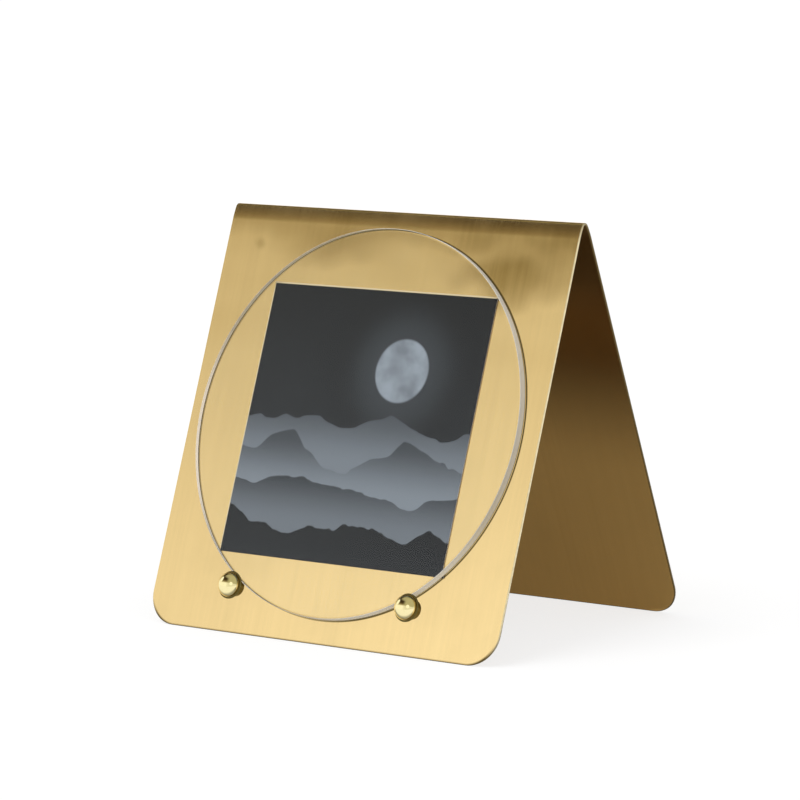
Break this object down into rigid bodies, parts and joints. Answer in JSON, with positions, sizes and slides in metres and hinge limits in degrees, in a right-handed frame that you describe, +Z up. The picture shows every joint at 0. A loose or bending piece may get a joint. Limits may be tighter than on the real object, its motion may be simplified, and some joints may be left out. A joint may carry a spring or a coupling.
{
  "type": "photo frame",
  "caption": "Desk photo frame: brushed brass-tone sheet bent into an A-shaped stand, with a clear round cover on domed posts that holds a square print against the front leg.",
  "frame": {"origin": "on the table, in the middle of the bounding box", "axes": "+X along the ridge to the viewer's right, +Y from the front leg to the rear leg, +Z up"},
  "size_m": [0.198, 0.1482, 0.1868],
  "materials": {
    "brushed_brass": "brushed up the slope, satin",
    "clear_acrylic": "clear, polished edge",
    "photo_paper": "semi-gloss print",
    "polished_brass": "mirror polished",
    "turned_brass": "fine turned, darkened",
    "plated_steel": "brass-tone plated"
  },
  "bodies": {
    "stand": {"stand_sheet": "brushed_brass", "dome_screw_left": "polished_brass", "dome_screw_right": "polished_brass", "spacer_sleeve_left": "turned_brass", "spacer_sleeve_right": "turned_brass", "back_washer_left": "plated_steel", "back_washer_right": "plated_steel", "hex_nut_left": "plated_steel", "hex_nut_right": "plated_steel"},
    "cover": {"cover_disc": "clear_acrylic"},
    "print": {"photo_print": "photo_paper"}
  },
  "joints": [
    {"name": "cover_lift", "type": "slide", "parent": "stand", "child": "cover", "axis": [0, 0.3538, 0.9353], "range_m": [0, 0.2]},
    {"name": "print_slide", "type": "slide", "parent": "stand", "child": "print", "axis": [0, 0.3538, 0.9353], "range_m": [-0.01, 0.17]}
  ]
}
